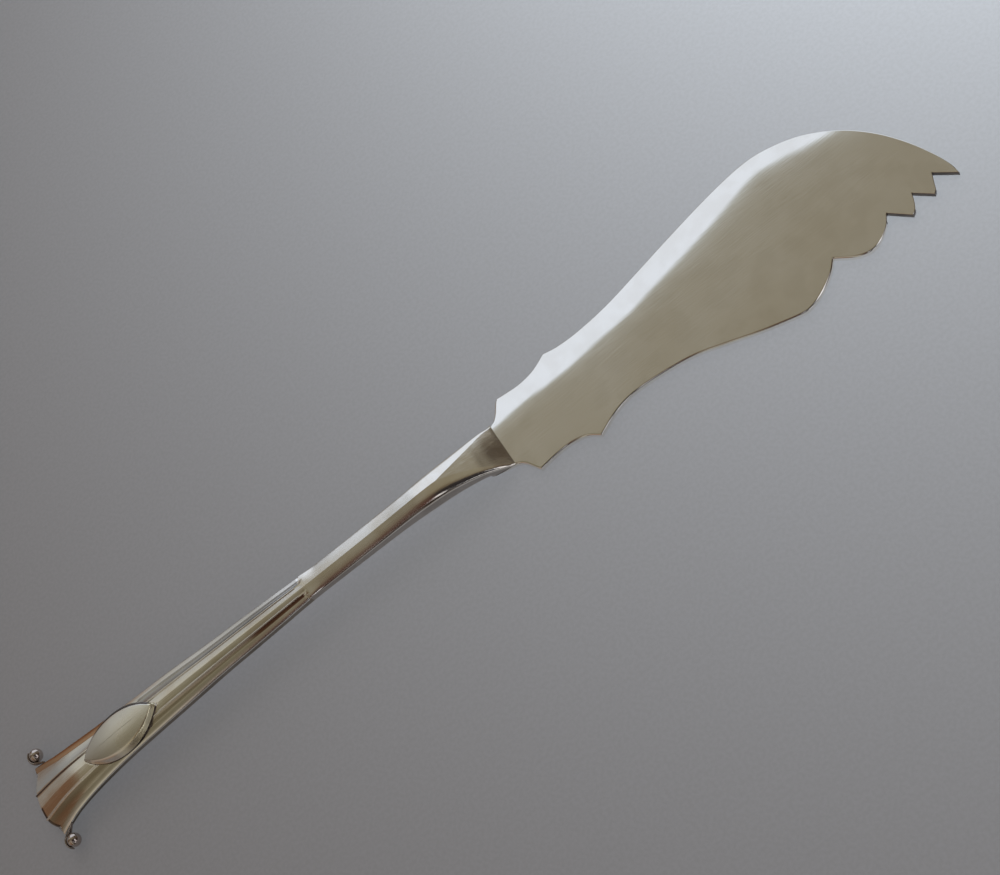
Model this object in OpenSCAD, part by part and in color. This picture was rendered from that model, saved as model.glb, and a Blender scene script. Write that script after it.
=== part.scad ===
// Silver spreading knife with a scalloped blade and an arched, reeded handle.
// The origin lies on the knife's long axis, on the blade's flat underside,
// level with the first pair of points on the blade's shoulders.
// +X runs to the blade's tip, +Y to its spine, +Z up from the table.

/* [Blade] */
// Length of the blade from the shoulder points to the tip
blade_l = 75; // [55:0.5:95]
// Greatest width of the blade, measured from the spine to the heel
blade_w = 27; // [20:0.5:34]
// Thickness of the blade's sheet
blade_t = 1; // [0.8:0.05:1.6]

/* [Handle] */
// Length of the handle from the shoulder points to its rounded end
handle_l = 97.4; // [80:0.1:120]
// Distance from the shoulder points back to the lip that laps over the blade
lip_d = 2.9; // [2:0.1:4]
// Length of the scarf joint between the neck and the blade's tongue
scarf_l = 4.1; // [3:0.1:6]
// Thickness of the lip where it meets the blade
lip_t = 0.15; // [0.1:0.01:0.3]
// Width of the neck at the lip
root_w = 8.2; // [6:0.1:10]
// Width of the stem at its narrowest
stem_w = 4.3; // [3:0.1:5.5]
// Thickness of the stem behind the neck
stem_t = 3.8; // [2.6:0.1:5]
// Thickness of the reeded grip
grip_t = 2.1; // [1.6:0.05:2.8]
// Width of the fan across its two corners
fan_w = 12.9; // [10:0.1:17]
// Thickness of the fan at its end
fan_t = 1.5; // [1.2:0.05:2.2]
// How far the fan's end swells out past its corners
lobe_l = 2; // [0.5:0.1:3]
// Height of the arch under the grip
arch_h = 3.05; // [1.5:0.05:6]

/* [Reeds] */
// Distance from the shoulder points back to the start of the reeding
reed_d = 40.5; // [30:0.5:55]
// Length over which a flute runs out at its rounded end
run_l = 0.7; // [0.4:0.1:1.5]
// Fall of the grip's low ridge from its crest to the inner reeds
ridge_d = 0.08; // [0.04:0.01:0.12]
// Fall of the flutes from the inner reeds to the edge reeds
flute_d = 0.17; // [0.08:0.01:0.2]
// Width of the edge reeds
reed_w = 1.1; // [0.8:0.05:1.4]
// Thickness of the edge reeds where they lie on their ledges
reed_t = 0.3; // [0.2:0.01:0.35]
// Height of an edge reed's inner edge over the flute beside it
reed_step = 0.08; // [0:0.01:0.12]
// Fall of an edge reed's back to its rim
back_d = 0.2; // [0.08:0.01:0.22]
// Width of an inner reed
wire_w = 0.34; // [0.24:0.01:0.4]
// Height of an inner reed
wire_h = 0.1; // [0.06:0.01:0.16]
// Distance from the fan's corners forward to where a curl leaves the side
// of each edge reed to wrap the bead
curl_back = 2.4; // [2:0.1:3.4]
// Width of the curl beside the bead
curl_w = 0.5; // [0.4:0.05:0.6]
// Width of the curl at its two ends
curl_tip = 0.3; // [0.2:0.05:0.4]
// Height of the curl beside the bead
curl_h = 1.1; // [0.8:0.05:1.6]

/* [Cartouche] */
// Length of the cartouche between its points
cartouche_l = 15; // [10:0.1:20]
// Width of the cartouche
cartouche_w = 7.4; // [4.5:0.1:8]
// Thickness of the cartouche at its rim
cartouche_t = 1.1; // [0.4:0.05:1.2]
// How far its sides lean in from the base to the top
lean = 0.5; // [0.1:0.05:0.8]
// Rise of its domed face over the rim
dome_h = 0.4; // [0.2:0.05:0.6]
// Depth of the flat seat filed for it across the grip's crests
seat_depth = 0.1; // [0.05:0.01:0.2]
// Distance from the handle's rounded end forward to its middle
cartouche_back = 19.3; // [13:0.1:25]

/* [Beads] */
// Diameter of a bead
bead_dia = 2.3; // [1.6:0.1:2.6]
// Distance from the fan's corners out to the beads' centres
bead_out = 1.75; // [1.5:0.05:2.4]
// Distance from the fan's corners forward to the beads' centres
bead_back = 1.2; // [0.8:0.1:1.5]
// Height of the beads' centres over the table
bead_z = 1.7; // [1.5:0.05:2.5]

/* [Fits] */
// Thickness of the solder film between two pieces
solder = 0.03; // [0.02:0.005:0.05]
// How far the blade's tongue stops short of the end of its seat
scarf_tip = 0.35; // [0.2:0.05:0.6]

/* [Hidden] */
// Overlap of a cutting shape past the piece that it cuts
cut = 1;

// Corners of the blade's outline and the curves between them, one list for
// each stretch. A point is [share of blade_l, share of blade_w].
spine_shoulder_shares = [[-0.029, 0.166], [-0.020, 0.193], [-0.012, 0.226], [-0.005, 0.257], [0.003, 0.281]];
spine_hollow_shares = [[0.003, 0.281], [0.030, 0.270], [0.062, 0.263], [0.100, 0.280], [0.137, 0.327]];
spine_shares = [[0.137, 0.327], [0.172, 0.305], [0.225, 0.298], [0.300, 0.314], [0.400, 0.363],
                [0.500, 0.415], [0.600, 0.460], [0.680, 0.481], [0.740, 0.473], [0.800, 0.422],
                [0.850, 0.342], [0.900, 0.220], [0.940, 0.075], [0.970, -0.085],
                [0.990, -0.240], [1.000, -0.360], [1.000, -0.430]];
first_tooth_shares = [[1.000, -0.430], [0.962, -0.329]];
second_tooth_shares = [[0.962, -0.329], [0.952, -0.386], [0.946, -0.421], [0.938, -0.443]];
second_back_shares = [[0.938, -0.443], [0.907, -0.351]];
third_tooth_shares = [[0.907, -0.351], [0.900, -0.398], [0.890, -0.442], [0.880, -0.461]];
third_back_shares = [[0.880, -0.461], [0.845, -0.352]];
small_scallop_shares = [[0.845, -0.352], [0.828, -0.412], [0.803, -0.458], [0.776, -0.477],
                        [0.745, -0.448], [0.710, -0.370]];
heel_shares = [[0.710, -0.370], [0.690, -0.425], [0.660, -0.478], [0.628, -0.514], [0.600, -0.522],
               [0.550, -0.483], [0.500, -0.436], [0.440, -0.370], [0.375, -0.305],
               [0.300, -0.270], [0.240, -0.259], [0.190, -0.281], [0.136, -0.342]];
belly_hollow_shares = [[0.136, -0.342], [0.110, -0.287], [0.075, -0.262], [0.040, -0.262], [-0.003, -0.275]];
belly_shoulder_shares = [[-0.003, -0.275], [-0.008, -0.257], [-0.014, -0.226], [-0.021, -0.193], [-0.029, -0.166]];

// How finely curves are drawn
curve_steps = 4;
reed_facets = 9;
curl_rings = 9;
leave_rings = 3;
arc_facets = 180;
bead_facets = 48;
lip_rings = 5;
neck_rings = 13;
stem_rings = 6;
run_rings = 4;
grip_rings = 12;
seat_rings = 8;
fan_rings = 12;

// The handle from the lip to its end. Each row is [share of handle_l,
// rise as a share of arch_h, share of the neck's thickness, share of the
// stem's thickness, share of the fan's thickness, share of the neck's
// width, share of the fan's width].
handle_shares = [
    [0.030, 0.000, 1.00, 0.00, 0.00, 1.000, 0.000],
    [0.052, 0.155, 0.67, 0.33, 0.00, 0.820, 0.000],
    [0.072, 0.338, 0.55, 0.45, 0.00, 0.615, 0.000],
    [0.083, 0.400, 0.47, 0.53, 0.00, 0.510, 0.000],
    [0.114, 0.470, 0.20, 0.80, 0.00, 0.310, 0.000],
    [0.145, 0.510, 0.00, 1.00, 0.00, 0.180, 0.000],
    [0.176, 0.570, 0.00, 0.98, 0.00, 0.100, 0.000],
    [0.207, 0.660, 0.00, 0.77, 0.00, 0.030, 0.000],
    [0.248, 0.760, 0.00, 0.50, 0.00, 0.000, 0.000],
    [0.290, 0.820, 0.00, 0.34, 0.00, 0.000, 0.000],
    [0.352, 0.880, 0.00, 0.20, 0.00, 0.000, 0.000],
    [0.414, 0.940, 0.00, 0.07, 0.00, 0.000, 0.012],
    [0.476, 0.980, 0.00, 0.02, 0.00, 0.000, 0.080],
    [0.538, 1.000, 0.00, 0.00, 0.00, 0.000, 0.140],
    [0.600, 1.000, 0.00, 0.00, 0.00, 0.000, 0.190],
    [0.683, 0.980, 0.00, 0.00, 0.00, 0.000, 0.295],
    [0.745, 0.940, 0.00, 0.00, 0.12, 0.000, 0.356],
    [0.807, 0.880, 0.00, 0.00, 0.25, 0.000, 0.420],
    [0.858, 0.800, 0.00, 0.00, 0.40, 0.000, 0.510],
    [0.900, 0.700, 0.00, 0.00, 0.60, 0.000, 0.616],
    [0.931, 0.580, 0.00, 0.00, 0.80, 0.000, 0.720],
    [0.951, 0.460, 0.00, 0.00, 0.90, 0.000, 0.826],
    [0.967, 0.330, 0.00, 0.00, 0.97, 0.000, 0.920],
    [0.982, 0.170, 0.00, 0.00, 1.00, 0.000, 1.000],
    [1.000, 0.000, 0.00, 0.00, 1.00, 0.000, 1.000]];

// Places across the grip, as shares of its half width: the ridge's foot, the
// inner reed, the flute's start, and the least place of the edge reed's side
ridge_share = 0.30;
wire_share = 0.36;
flute_share = 0.42;
reed_least_share = 0.65;
// Places across the ridge, the flute and the edge reed, as shares of each
ridge_shares = [0, 0.20, 0.40, 0.60, 0.80, 1];
flute_shares = [0, 0.10, 0.25, 0.45, 0.70, 1];
back_shares = [0.02, 0.30, 0.55, 0.77, 0.92, 1];
// The stem's crest forks towards the blade's shoulders, with a facet that is
// level across between the forks: where they part, as a share of handle_l,
// how far apart they end at the lip, and how they bow
fork_start_share = 0.145;
fork_end_share = 0.95;
fork_power = 1.2;
lobe_edge_share = 0.78;
lobe_start_share = 0.90;
// Where the stem's high roof starts to give way to the grip's low one,
// as a share of reed_d
face_start_share = 0.93;
// Where the stem's close rings give way to wider ones, between neck and reeds
stem_rings_share = 0.6;
// Shape of the section: its roof, and its rounded flanks
stem_roof_share = 0.3;
stem_flank_share = 0.72;
under_round_share = 0.25;
// How flat the flanks' and rims' roundings are: 2 is an ellipse
flank_power = 4;
rim_power = 8;
// How bluff the inner reeds' backs are: 1 is an ellipse
wire_power = 0.7;
// Directions from a bead's middle to the curl round it, in degrees from -X
// towards the knife's axis: where it starts and where it ends
curl_start = 75;
curl_end = -50;

corner_d = handle_l - lobe_l;
scarf_d = lip_d + scarf_l;
neck_end_d = mix(scarf_d, reed_d, stem_rings_share);
wire_start = reed_d + 4 * run_l;
bead_r = bead_dia / 2;

function mix(a, b, s) = a + (b - a) * s;
function clamp01(s) = min(1, max(0, s));
function ease(s) = let (c = clamp01(s)) c * c * (3 - 2 * c);

// A smooth curve through the rows of a table whose first column rises
function row_at(t, x, i = 0) = i >= len(t) - 2 || x <= t[i + 1][0] ? i : row_at(t, x, i + 1);
function row_slope(t, i, k) =
    let (a = max(i - 1, 0), b = min(i + 1, len(t) - 1))
    (t[b][k] - t[a][k]) / (t[b][0] - t[a][0]);
function hermite(a, b, ta, tb, s) =
    (2 * s * s * s - 3 * s * s + 1) * a + (s * s * s - 2 * s * s + s) * ta
    + (3 * s * s - 2 * s * s * s) * b + (s * s * s - s * s) * tb;
function along(d, k) =
    let (x = d / handle_l, t = handle_shares, i = row_at(t, x), h = t[i + 1][0] - t[i][0])
    hermite(t[i][k], t[i + 1][k], h * row_slope(t, i, k), h * row_slope(t, i + 1, k),
            clamp01((x - t[i][0]) / h));

// The handle's envelope at a distance d behind the shoulder points
function under_z(d) = arch_h * max(0, along(d, 1));
function thick(d) =
    let (n = along(d, 2), s = along(d, 3), f = along(d, 4))
    n * (blade_t + lip_t) + s * stem_t + f * fan_t + (1 - n - s - f) * grip_t;
function half_w(d) =
    let (n = along(d, 5), f = along(d, 6))
    (n * root_w + f * fan_w + (1 - n - f) * stem_w) / 2;
function crest_z(d) = under_z(d) + thick(d);

// The cartouche lies on a flat seat filed across the crests
cartouche_d = handle_l - cartouche_back;
seat_front = cartouche_d - cartouche_l / 2 - solder;
seat_back = cartouche_d + cartouche_l / 2 + solder;
seat_slope = (crest_z(seat_back) - crest_z(seat_front)) / (seat_back - seat_front);
function seat_z(d) = crest_z(seat_front) - seat_depth + seat_slope * (d - seat_front);
function in_seat(d) = d >= seat_front && d <= seat_back;
// Share of the grip's low section at d: 0 on the stem, 1 on the grip
function grip_part(d) = ease((d / reed_d - face_start_share) / (1 - face_start_share));
// Depth share of the flutes and ledges, rounded off where they run out
function run_out(d) = d <= reed_d ? 0 : d >= reed_d + run_l ? 1
    : sqrt(1 - pow((reed_d + run_l - d) / run_l, 2));

// Falls from 1 on the centre line to 0 at the flank, where v is 1
function rounding(v) = sqrt(max(0, 1 - pow(v, flank_power)));

// How far out the forks of the stem's crest are at d, as a share of half_w
function fork(d) =
    let (s = clamp01((d - lip_d) / (fork_start_share * handle_l - lip_d)))
    fork_end_share * (1 - pow(s, fork_power));

// Where the side of an edge reed is, as a share of half_w
function reed_side(d) = max(reed_least_share, 1 - reed_w / half_w(d));

// Fall of the grip's face below its crest: the ridge, the flute, and the back
// of the edge reed that a is the reed's side of
function bowed(s) = (s + s * s) / 2;
function ridge_fall(v) = ridge_d * bowed(clamp01(v / ridge_share));
function flute_fall(v, a) = let (s = clamp01((v - flute_share) / (a - flute_share)))
    ridge_fall(v) + flute_d * s * (2 - s);
function back_fall(v, a) = ridge_d + flute_d - reed_step + back_d * bowed((v - a) / (1 - a));
function rim_fall(d) = back_fall(1, reed_side(d));

// The roofed face before the flutes are cut, and after: the seat is filed level
function whole(d, v) =
    let (flank = mix(under_z(d) + thick(d) * stem_flank_share, crest_z(d) - rim_fall(d), grip_part(d)),
         f = fork(d), u = clamp01((v - f) / (1 - f)))
    mix(flank, crest_z(d), rounding(u) * (1 - stem_roof_share * u));
function filed(d, z) = in_seat(d) ? min(z, seat_z(d)) : z;
function inner_z(d, v, a) = filed(d, mix(whole(d, v), crest_z(d) - flute_fall(v, a), run_out(d)));
function back_z(d, v, a) = filed(d, crest_z(d) - back_fall(v, a));
function ledge_z(d, v, a) = mix(whole(d, v), back_z(d, v, a) - reed_t, run_out(d));
function bed_z(d, v, a) =
    let (z = v <= a ? inner_z(d, v, a) : ledge_z(d, v, a))
    d < scarf_d ? max(z, blade_t + solder + lip_t / 2) : z;
function belly_z(d, v) =
    d < scarf_d ? blade_t + solder
    : under_z(d) + under_round_share * thick(d) * (1 - rounding(v));

// The end of the fan swells out between its corners
function lobe(d, v) =
    lobe_l * ease((d / handle_l - lobe_start_share) / (corner_d / handle_l - lobe_start_share))
    * max(0, 1 - pow(v / lobe_edge_share, 3));

function spread(from, to, n) = [for (i = [0 : n - 1]) mix(from, to, i / n)];
stem_stations = concat(spread(lip_d, scarf_d, lip_rings), [scarf_d - solder],
                       spread(scarf_d, neck_end_d, neck_rings), spread(neck_end_d, reed_d, stem_rings),
                       spread(reed_d, reed_d + run_l, run_rings));
grip_stations = concat(spread(reed_d + run_l, seat_front - solder, grip_rings), [seat_front - solder],
                       spread(seat_front, seat_back, seat_rings), [seat_back],
                       spread(seat_back + solder, corner_d, fan_rings), [corner_d]);

// Places across half the handle, and across all of it, as shares of half_w
function half_shares(a) = concat(ridge_share * ridge_shares,
    [for (s = flute_shares) mix(flute_share, a, s)], [for (s = back_shares) mix(a, 1, s)]);
function full_shares(a) = let (h = half_shares(a)) concat([for (i = [len(h) - 1 : -1 : 1]) -h[i]], h);

// Skins a row of rings, each a list of as many points, and closes both ends
// with strips between the ring's first and second halves
module skin(rings) {
    n = len(rings[0]);
    m = len(rings);
    points = [for (r = rings) each r];
    sides = [for (i = [0 : m - 2], j = [0 : n - 1])
        let (a = i * n + j, b = i * n + (j + 1) % n, c = a + n, d = b + n)
        each [[a, d, b], [a, c, d]]];
    function cap(o) = [for (j = [0 : n / 2 - 2])
        let (a = o + j, b = o + j + 1, c = o + n - 2 - j, d = o + n - 1 - j)
        each [[a, c, b], [a, d, c]]];
    front = [for (f = cap(0)) [f[2], f[1], f[0]]];
    polyhedron(points = points, faces = concat(sides, front, cap((m - 1) * n)));
}

// Points of a smooth curve through a stretch of the blade's outline
function bend(p, i) =
    let (a = p[max(i - 1, 0)], b = p[min(i + 1, len(p) - 1)], w = i == 0 || i == len(p) - 1 ? 1 : 0.5)
    (b - a) * w;
function stretch(p) = [for (i = [0 : len(p) - 2], k = [0 : curve_steps - 1])
    let (s = k / curve_steps, q = hermite(p[i], p[i + 1], bend(p, i), bend(p, i + 1), s))
    [q[0] * blade_l, q[1] * blade_w]];

module blade() {
    tongue = spread(scarf_d - scarf_tip, lip_d, lip_rings);
    spine_side = [for (d = tongue) [-d, half_w(d)]];
    belly_side = [for (i = [len(tongue) - 1 : -1 : 0]) [-tongue[i], -half_w(tongue[i])]];
    outline = concat(spine_side, [[-lip_d, root_w / 2]],
        stretch(spine_shoulder_shares), stretch(spine_hollow_shares), stretch(spine_shares),
        stretch(first_tooth_shares), stretch(second_tooth_shares), stretch(second_back_shares),
        stretch(third_tooth_shares), stretch(third_back_shares), stretch(small_scallop_shares),
        stretch(heel_shares), stretch(belly_hollow_shares), stretch(belly_shoulder_shares),
        [[-lip_d, -root_w / 2]], belly_side);
    scarf = concat([[-lip_d, -cut], [-lip_d, 0]],
        [for (d = spread(lip_d, scarf_d + cut, neck_rings)) [-d, under_z(d)]],
        [[-scarf_d - cut, under_z(scarf_d + cut)], [-scarf_d - cut, -cut]]);
    color("#cfcabd") difference() {
        linear_extrude(blade_t) polygon(outline);
        rotate([90, 0, 0]) linear_extrude(root_w + 2 * cut, center = true) polygon(scarf);
    }
}

function handle_ring(d) = let (a = reed_side(d), f = full_shares(a)) concat(
    [for (v = f) let (e = d + lobe(d, abs(v))) [-e, v * half_w(d), bed_z(e, abs(v), a)]],
    [for (i = [len(f) - 1 : -1 : 0])
        let (v = f[i], e = d + lobe(d, abs(v))) [-e, v * half_w(d), belly_z(e, abs(v))]]);

module handle() color("#c9c4b6")
    skin([for (d = concat(stem_stations, grip_stations)) handle_ring(d)]);

// An edge reed is a flat strip on its ledge, with a rounded rim
rim_shares = [for (i = [0 : reed_facets]) sin(90 * i / reed_facets)];
function edge_ring(d) =
    let (a = reed_side(d), inner = a + 2 * solder / half_w(d), v = [for (s = rim_shares) mix(inner, 1, s)])
    concat([for (i = [0 : reed_facets]) [-d, v[i] * half_w(d),
               back_z(d, v[i], a) - reed_t / 2 * (1 - sqrt(1 - pow(rim_shares[i], rim_power)))]],
           [for (i = [reed_facets : -1 : 0]) [-d, v[i] * half_w(d), ledge_z(d, v[i], a) + solder]]);

// A curl leaves the reed's side and wraps the bead
curl_d = corner_d - curl_back;
bead_at = [bead_back - corner_d, fan_w / 2 + bead_out];
function curl_section(mid, out, w, z, h) =
    let (across = [for (i = [0 : reed_facets]) cos(180 * i / reed_facets)])
    concat([for (c = across) [each mid + out * (w / 2 * c), z + h / 2 * sqrt(1 - c * c)]],
           [for (i = [reed_facets : -1 : 0]) let (c = across[i])
               [each mid + out * (w / 2 * c), z - h / 2 * sqrt(1 - c * c) - solder / 2]]);
function curl_ring(s) =
    let (turn = 180 + mix(curl_start, curl_end, s), out = [cos(turn), sin(turn)], w = mix(curl_w, curl_tip, s))
    curl_section(bead_at + out * (bead_r + solder + w / 2), out, w, bead_z, curl_h);
function side_ring() = curl_section([-curl_d, half_w(curl_d) + solder + curl_tip / 2], [0, -1], curl_tip,
    back_z(curl_d, 1, reed_side(curl_d)) - reed_t / 2, curl_h / 2);
module edge_reed() {
    skin([for (d = grip_stations) edge_ring(d)]);
    skin(concat([for (i = [0 : leave_rings - 1]) mix(side_ring(), curl_ring(0), i / leave_rings)],
        [for (i = [0 : curl_rings]) curl_ring(i / curl_rings)]));
}
module left_edge_reed() color("#d6d2c6") edge_reed();
module right_edge_reed() color("#d6d2c6") mirror([0, 1, 0]) edge_reed();

// An inner reed stands at the foot of the ridge, beside the flute
arch_shares = [for (i = [0 : reed_facets]) let (a = 180 * i / reed_facets)
    [(1 - cos(a)) / 2, pow(sin(a), wire_power)]];
function wire_ring(d) =
    let (mid = wire_share * half_w(d), e = d + lobe(d, wire_share), a = reed_side(d),
         low = max(bed_z(e, wire_share, a), bed_z(e, (mid - wire_w / 2) / half_w(d), a)) + solder)
    [for (p = arch_shares) [-e, mid + wire_w * (p[0] - 1 / 2), low + wire_h * p[1]]];
module inner_reed() {
    free = [for (d = grip_stations) if (d > wire_start && !in_seat(d)) d];
    front = [for (d = free) if (d < seat_front) d];
    back = [for (d = free) if (d > seat_back) d];
    skin([for (d = concat([wire_start], front)) wire_ring(d)]);
    skin([for (d = back) wire_ring(d)]);
}
module left_inner_reed() color("#dedacd") inner_reed();
module right_inner_reed() color("#dedacd") mirror([0, 1, 0]) inner_reed();

// A pointed oval with leaning sides, domed both ways, on the filed seat
module cartouche() {
    side_r = (cartouche_l * cartouche_l + cartouche_w * cartouche_w) / (4 * cartouche_w);
    full_t = cartouche_t + dome_h;
    cross_r = (cartouche_w * cartouche_w / 4 + dome_h * dome_h) / (2 * dome_h);
    long_r = (cartouche_l * cartouche_l / 4 + dome_h * dome_h) / (2 * dome_h);
    tilt = atan(seat_slope);
    module leaning_side(y) translate([0, y, 0])
        cylinder(h = full_t, r1 = side_r, r2 = side_r - lean, $fn = arc_facets);
    color("#d2cdbf")
    translate([-cartouche_d, 0, seat_z(cartouche_d) + solder]) rotate([0, tilt, 0])
    intersection() {
        leaning_side(side_r - cartouche_w / 2);
        leaning_side(cartouche_w / 2 - side_r);
        translate([0, 0, full_t - cross_r]) rotate([0, 90, 0])
            cylinder(h = cartouche_l + 2 * cut, r = cross_r, center = true, $fn = arc_facets);
        translate([0, 0, full_t - long_r]) rotate([90, 0, 0])
            cylinder(h = cartouche_w + 2 * cut, r = long_r, center = true, $fn = arc_facets);
    }
}

module bead() translate([bead_at[0], bead_at[1], bead_z]) sphere(bead_r, $fn = bead_facets);
module left_bead() color("#d9d5ca") bead();
module right_bead() color("#d9d5ca") mirror([0, 1, 0]) bead();

blade();
handle();
left_edge_reed();
right_edge_reed();
left_inner_reed();
right_inner_reed();
cartouche();
left_bead();
right_bead();
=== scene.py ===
"""Silver butter knife lying on a sheet of paper, in a room with a tall window on its far side.

Lengths are in millimetres in the frame of the solids: +X to the blade's tip, +Y to its spine, +Z up,
with the table at Z = 0. mesh_piece() turns them into metres.
"""
import math

import bpy
import numpy as np
from mathutils import Matrix, Vector
from mathutils.geometry import delaunay_2d_cdt

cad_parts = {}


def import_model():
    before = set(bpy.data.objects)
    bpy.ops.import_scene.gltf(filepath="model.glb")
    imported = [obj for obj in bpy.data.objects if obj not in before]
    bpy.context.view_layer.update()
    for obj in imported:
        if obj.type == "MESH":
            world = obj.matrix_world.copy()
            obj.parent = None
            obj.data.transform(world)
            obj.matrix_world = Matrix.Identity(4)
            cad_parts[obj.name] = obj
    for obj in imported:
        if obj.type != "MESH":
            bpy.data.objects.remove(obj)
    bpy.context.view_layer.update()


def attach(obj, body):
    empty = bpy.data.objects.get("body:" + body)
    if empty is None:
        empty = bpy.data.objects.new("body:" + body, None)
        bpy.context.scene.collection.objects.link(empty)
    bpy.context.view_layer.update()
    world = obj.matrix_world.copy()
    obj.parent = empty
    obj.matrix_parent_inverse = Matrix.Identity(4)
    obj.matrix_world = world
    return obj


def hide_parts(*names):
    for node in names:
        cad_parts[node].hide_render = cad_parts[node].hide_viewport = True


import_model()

MM = 0.001

# Sizes of the solids. A distance along the handle is measured back from the blade's shoulder points.
BLADE_L = 75           # from the shoulder points to the tip
BLADE_W = 27           # from the spine to the heel
BLADE_T = 1
HANDLE_L = 97.4        # from the shoulder points to the rounded end
LIP_D = 2.9            # distance to the lip that laps over the blade
SCARF_L = 4.1          # length of the joint between the neck and the blade's tongue
SCARF_TIP = 0.35       # how far the tongue stops short of the joint's end
LIP_T = 0.15           # thickness of the lip
ROOT_W = 8.2           # width of the neck at the lip
STEM_W = 4.3           # width of the stem at its narrowest
STEM_T = 3.8           # thickness of the stem behind the neck
GRIP_T = 2.1           # thickness of the reeded grip
FAN_W = 12.9           # width of the fan across its two corners
FAN_T = 1.5            # thickness of the fan at its end
LOBE_L = 2             # how far the fan's end swells out past its corners
ARCH_H = 3.05          # height of the arch under the grip
REED_D = 40.5          # distance to the start of the reeding
RUN_L = 0.7            # length over which a flute runs out at its rounded end
RIDGE_D = 0.08         # fall of the grip's low ridge from its crest to the inner reeds
FLUTE_D = 0.17         # fall of the flutes from the inner reeds to the edge reeds
REED_W = 1.1           # width of the edge reeds
REED_T = 0.3           # their thickness
REED_STEP = 0.08       # height of their inner edge over the flute
BACK_D = 0.2           # fall of their back to its rim
WIRE_W = 0.34          # width of an inner reed
WIRE_H = 0.1           # height of an inner reed
CURL_BACK = 2.4        # from the fan's corners forward to where a curl leaves the edge reed
CURL_W = 0.5           # width of the curl beside the bead
CURL_TIP = 0.3         # width of the curl at its ends
CURL_H = 1.1           # height of the curl beside the bead
CARTOUCHE_L = 15
CARTOUCHE_W = 7.4
CARTOUCHE_T = 1.1      # thickness of the cartouche at its rim
CARTOUCHE_BACK = 19.3  # from the handle's rounded end forward to its middle
DOME_H = 0.4           # rise of its domed face over the rim
SEAT_DEPTH = 0.1       # depth of the flat seat under it
BEAD_R = 1.15
BEAD_OUT = 1.75        # from the fan's corners out to a bead's centre
BEAD_BACK = 1.2        # from the fan's corners forward to a bead's centre
BEAD_Z = 1.7           # height of a bead's centre
SOLDER = 0.03          # thickness of the solder between two pieces
CORNER_D = HANDLE_L - LOBE_L
SCARF_D = LIP_D + SCARF_L
CARTOUCHE_D = HANDLE_L - CARTOUCHE_BACK

# Sizes that only the finished surfaces have
EDGE_R = 0.34          # rounding of the blade's upper edge
TOOTH_R = 0.14         # the same at the notched tip
TOOTH_X = 57           # where the rounding begins to get finer towards the tip
TOOTH_FADE_L = 6       # length over which it gets finer
UNDER_R = 0.12         # rounding of the blade's lower edge
TONGUE_R = 0.02        # rounding of the tongue's edge under the neck
TONGUE_T = 0.3         # least depth of the tongue's underside below the blade's face
TONGUE_DROP = 0.16     # how far the tongue's face lies below the blade's
FLUSH_L = 1.5          # length over which the neck rises behind the lip, where it is flush with the blade
ROLL_W = 4.5           # width over which the blade's face rolls towards the bevel
ROLL_SLOPE = 0.03      # the roll's slope where it meets the bevel
BEVEL_W = 3.4          # width of the bevel along the spine
BEVEL_DROP = 0.42      # fall of the blade's face over this width
BEVEL_CRISP = 0.35     # rounding of the bevel's line near the root
BEVEL_SOFT = 1.6       # the same near the tip
SWELL_ROOM = 0.01      # how far the blade's face lies below the solid's, for its swell
OUTLINE_STEPS = 10     # points of the blade's edge from one place of its outline to the next
TONGUE_STEP = 0.5      # spacing of the points along the tongue's sides
LEAST_STEP = 0.02      # least distance from point to point along the blade's edge
GRID_STEP = 0.55       # spacing of the blade's inner points
GRID_CLEAR = 0.3       # least distance of these points from the blade's edge
GRID_TOLERANCE = 1e-7  # distance under which two of these points are one
MITRE_LEAST = 0.45     # least cosine by which a mitre is drawn out at a sharp corner
END_R = 0.28           # rounding of the fan's end
CROWN = 0.011          # curvature across the neck's facet between the forks, in 1/mm
CROWN_START_L = 0.9    # length over which this curvature sets in behind the lip
CROWN_END_L = 6        # length over which it dies out behind the scarf
SEAT_RIM = 0.1         # how far the cartouche's seat stays inside its outline
FUSE = 0.04            # depth of the solder's fillet, by which trim sinks into its seat

# Where films of painted shade begin and end
NOTCH_X = 62.5         # start of the notched tip, whose walls towards the near side carry painted shade
NOTCH_FACING = 0.6     # least share of these walls' direction that is along -Y
NOTCH_RINGS = 10       # strips up the blade's side that this painted shade covers
FAN_END_RINGS = 8      # rings of the fan's end that carry painted shade on the near side
FAN_END_FROM = 3       # faces of the near flute that this painted shade leaves bare
FAN_END_TO = 2         # faces beside the fan's crown that it leaves bare
MARGIN_END = 73        # where the painted shade on the far edge reed's inner margin runs under the cartouche
MARGIN_FACES = 3       # faces across this margin

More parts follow.
